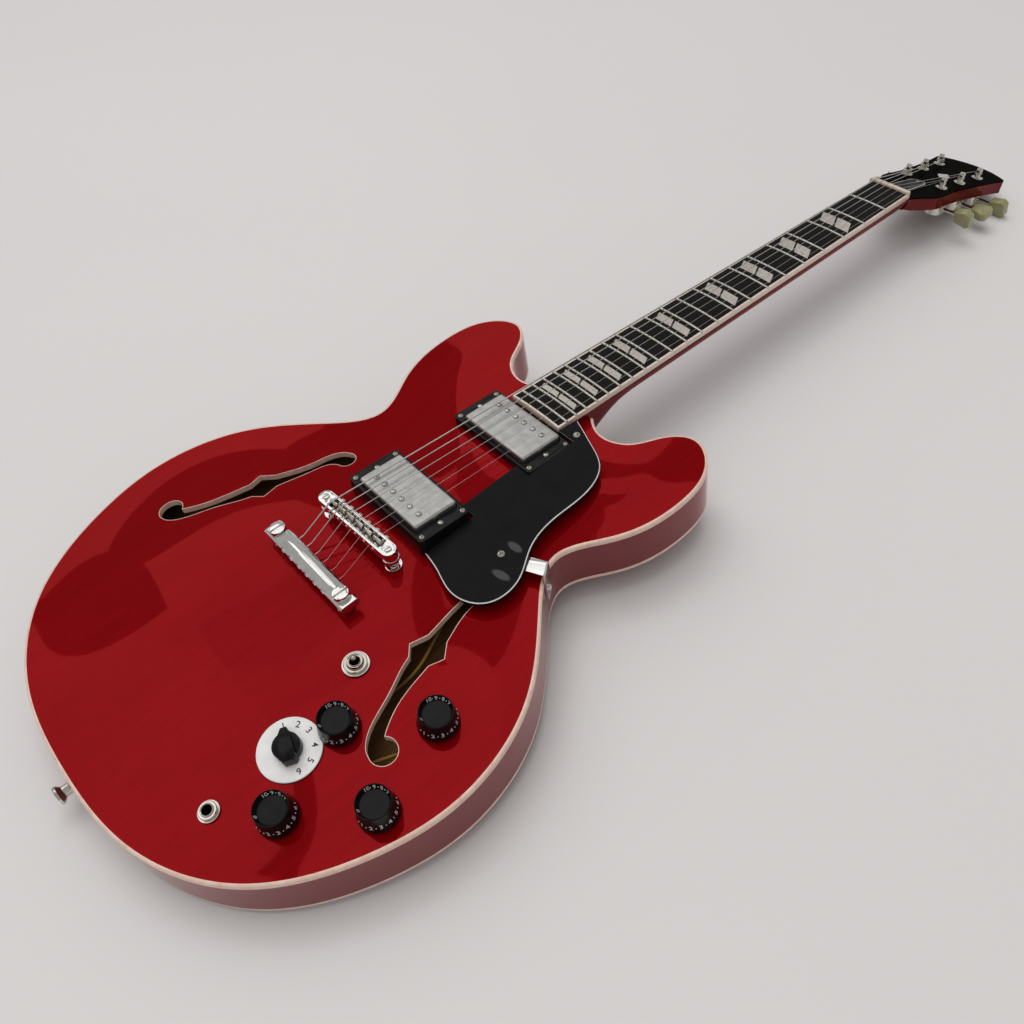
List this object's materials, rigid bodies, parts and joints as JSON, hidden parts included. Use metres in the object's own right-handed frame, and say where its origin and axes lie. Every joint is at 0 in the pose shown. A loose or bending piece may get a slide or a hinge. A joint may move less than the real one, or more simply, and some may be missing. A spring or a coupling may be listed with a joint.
{
  "type": "semi-hollow electric guitar",
  "caption": "Double-cutaway semi-hollow archtop electric guitar with sound holes, covered pickups, fixed tailpiece, raised pickguard, tone selector dial and turning tuners.",
  "frame": {"origin": "on the flat of the back, on the centre line below the bridge end of the scale", "axes": "+Y to the headstock, +X to the treble side, +Z out of the top"},
  "size_m": [0.404, 1.0602, 0.1394],
  "materials": {
    "cherry_lacquer": "high-gloss translucent red lacquer over maple",
    "maple": "bare sawn maple",
    "cream_binding": "glossy cream binding",
    "black_lacquer": "black gloss",
    "fretboard_wood": "dark oiled wood",
    "pearl": "grey pearl",
    "fret_wire": "polished fret wire",
    "bone": "polished bone",
    "steel": "plain steel",
    "black_plastic": "black gloss plastic",
    "string_wire": "bright wire",
    "chrome": "polished plating",
    "nickel": "satin plating",
    "bobbin_plastic": "matt black",
    "button_plastic": "pale green translucent plastic",
    "dial_white": "white gloss",
    "wire_cover": "woven cloth cover"
  },
  "bodies": {
    "guitar": {"body_top": "cherry_lacquer", "body_back": "cherry_lacquer", "body_rim": "cherry_lacquer", "centre_block": "maple", "body_bindings": "cream_binding", "neck": "cherry_lacquer", "headstock_veneer": "black_lacquer", "fretboard": "fretboard_wood", "fretboard_binding": "cream_binding", "fret_inlays": "pearl", "frets": "fret_wire", "nut": "bone", "truss_rod": "steel", "truss_rod_cover": "black_plastic", "strings": "string_wire", "bridge": "chrome", "saddle_screws": "chrome", "bridge_studs": "chrome", "tailpiece": "chrome", "tailpiece_studs": "chrome", "pickup_rings": "black_plastic", "pickup_covers": "nickel", "pickup_bobbins": "bobbin_plastic", "pickup_bases": "nickel", "pole_screws": "steel", "pickup_height_screws": "steel", "small_screws": "steel", "pickguard": "black_plastic", "pickguard_bracket": "chrome", "tuner_frames": "nickel", "potentiometers": "steel", "selector_dial": "dial_white", "toggle_switch": "nickel", "output_jack": "nickel", "wiring": "wire_cover", "strap_buttons": "nickel"},
    "key_1": {"tuner_key_1": "button_plastic"},
    "post_1": {"tuner_post_1": "nickel"},
    "key_2": {"tuner_key_2": "button_plastic"},
    "post_2": {"tuner_post_2": "nickel"},
    "key_3": {"tuner_key_3": "button_plastic"},
    "post_3": {"tuner_post_3": "nickel"},
    "key_4": {"tuner_key_4": "button_plastic"},
    "post_4": {"tuner_post_4": "nickel"},
    "key_5": {"tuner_key_5": "button_plastic"},
    "post_5": {"tuner_post_5": "nickel"},
    "key_6": {"tuner_key_6": "button_plastic"},
    "post_6": {"tuner_post_6": "nickel"},
    "knob_1": {"control_knob_1": "black_plastic"},
    "knob_2": {"control_knob_2": "black_plastic"},
    "knob_3": {"control_knob_3": "black_plastic"},
    "knob_4": {"control_knob_4": "black_plastic"},
    "selector": {"selector_knob": "black_plastic"},
    "toggle": {"toggle_lever": "nickel"},
    "slider_1": {"saddle_1": "chrome"},
    "slider_2": {"saddle_2": "chrome"},
    "slider_3": {"saddle_3": "chrome"},
    "slider_4": {"saddle_4": "chrome"},
    "slider_5": {"saddle_5": "chrome"},
    "slider_6": {"saddle_6": "chrome"}
  },
  "joints": [
    {"name": "key_1_turn", "type": "hinge", "parent": "guitar", "child": "key_1", "pos_m": [-0.0202, 0.68966, -0.02112], "axis": [-1, 0, 0], "continuous": true},
    {"name": "post_1_turn", "type": "hinge", "parent": "guitar", "child": "post_1", "pos_m": [-0.0202, 0.68826, 0.0011], "axis": [0, 0.314, 0.9494], "continuous": true},
    {"name": "key_2_turn", "type": "hinge", "parent": "guitar", "child": "key_2", "pos_m": [-0.0212, 0.7225, -0.03198], "axis": [-1, 0, 0], "continuous": true},
    {"name": "post_2_turn", "type": "hinge", "parent": "guitar", "child": "post_2", "pos_m": [-0.0212, 0.72111, -0.00976], "axis": [0, 0.314, 0.9494], "continuous": true},
    {"name": "key_3_turn", "type": "hinge", "parent": "guitar", "child": "key_3", "pos_m": [-0.0222, 0.75535, -0.04285], "axis": [-1, 0, 0], "continuous": true},
    {"name": "post_3_turn", "type": "hinge", "parent": "guitar", "child": "post_3", "pos_m": [-0.0222, 0.75396, -0.02063], "axis": [0, 0.314, 0.9494], "continuous": true},
    {"name": "key_4_turn", "type": "hinge", "parent": "guitar", "child": "key_4", "pos_m": [0.0202, 0.68966, -0.02112], "axis": [1, 0, 0], "continuous": true},
    {"name": "post_4_turn", "type": "hinge", "parent": "guitar", "child": "post_4", "pos_m": [0.0202, 0.68826, 0.0011], "axis": [0, 0.314, 0.9494], "continuous": true},
    {"name": "key_5_turn", "type": "hinge", "parent": "guitar", "child": "key_5", "pos_m": [0.0212, 0.7225, -0.03198], "axis": [1, 0, 0], "continuous": true},
    {"name": "post_5_turn", "type": "hinge", "parent": "guitar", "child": "post_5", "pos_m": [0.0212, 0.72111, -0.00976], "axis": [0, 0.314, 0.9494], "continuous": true},
    {"name": "key_6_turn", "type": "hinge", "parent": "guitar", "child": "key_6", "pos_m": [0.0222, 0.75535, -0.04285], "axis": [1, 0, 0], "continuous": true},
    {"name": "post_6_turn", "type": "hinge", "parent": "guitar", "child": "post_6", "pos_m": [0.0222, 0.75396, -0.02063], "axis": [0, 0.314, 0.9494], "continuous": true},
    {"name": "knob_1_turn", "type": "hinge", "parent": "guitar", "child": "knob_1", "pos_m": [0.113, -0.103, 0.05815], "axis": [0.1077, -0.0285, 0.9938], "range_deg": [0, 280]},
    {"name": "knob_2_turn", "type": "hinge", "parent": "guitar", "child": "knob_2", "pos_m": [0.153, -0.0545, 0.05352], "axis": [0.1026, 0.0252, 0.9944], "range_deg": [0, 280]},
    {"name": "knob_3_turn", "type": "hinge", "parent": "guitar", "child": "knob_3", "pos_m": [0.1325, -0.164, 0.05298], "axis": [0.0796, -0.0583, 0.9951], "range_deg": [0, 280]},
    {"name": "knob_4_turn", "type": "hinge", "parent": "guitar", "child": "knob_4", "pos_m": [0.173, -0.117, 0.05155], "axis": [0.0585, -0.0163, 0.9982], "range_deg": [0, 280]},
    {"name": "selector_turn", "type": "hinge", "parent": "guitar", "child": "selector", "pos_m": [0.1025, -0.135, 0.05772], "axis": [0.0937, -0.0641, 0.9935], "range_deg": [-170, 0]},
    {"name": "toggle_tilt", "type": "hinge", "parent": "guitar", "child": "toggle", "pos_m": [0.08381, -0.06904, 0.0579], "axis": [0.9979, -0.0005, -0.0647], "range_deg": [-12, 12]},
    {"name": "saddle_1_slide", "type": "slide", "parent": "guitar", "child": "slider_1", "axis": [-0.0401, 0.9992, 0], "range_m": [-0.0014, 0.0014]},
    {"name": "saddle_2_slide", "type": "slide", "parent": "guitar", "child": "slider_2", "axis": [-0.0401, 0.9992, 0], "range_m": [-0.0014, 0.0014]},
    {"name": "saddle_3_slide", "type": "slide", "parent": "guitar", "child": "slider_3", "axis": [-0.0401, 0.9992, 0], "range_m": [-0.0014, 0.0014]},
    {"name": "saddle_4_slide", "type": "slide", "parent": "guitar", "child": "slider_4", "axis": [-0.0401, 0.9992, 0], "range_m": [-0.0014, 0.0014]},
    {"name": "saddle_5_slide", "type": "slide", "parent": "guitar", "child": "slider_5", "axis": [-0.0401, 0.9992, 0], "range_m": [-0.0014, 0.0014]},
    {"name": "saddle_6_slide", "type": "slide", "parent": "guitar", "child": "slider_6", "axis": [-0.0401, 0.9992, 0], "range_m": [-0.0014, 0.0014]}
  ],
  "couplings": [
    {"joint": "post_1_turn", "follows": "key_1_turn", "ratio": 0.066667},
    {"joint": "post_2_turn", "follows": "key_2_turn", "ratio": 0.066667},
    {"joint": "post_3_turn", "follows": "key_3_turn", "ratio": 0.066667},
    {"joint": "post_4_turn", "follows": "key_4_turn", "ratio": 0.066667},
    {"joint": "post_5_turn", "follows": "key_5_turn", "ratio": 0.066667},
    {"joint": "post_6_turn", "follows": "key_6_turn", "ratio": 0.066667}
  ]
}
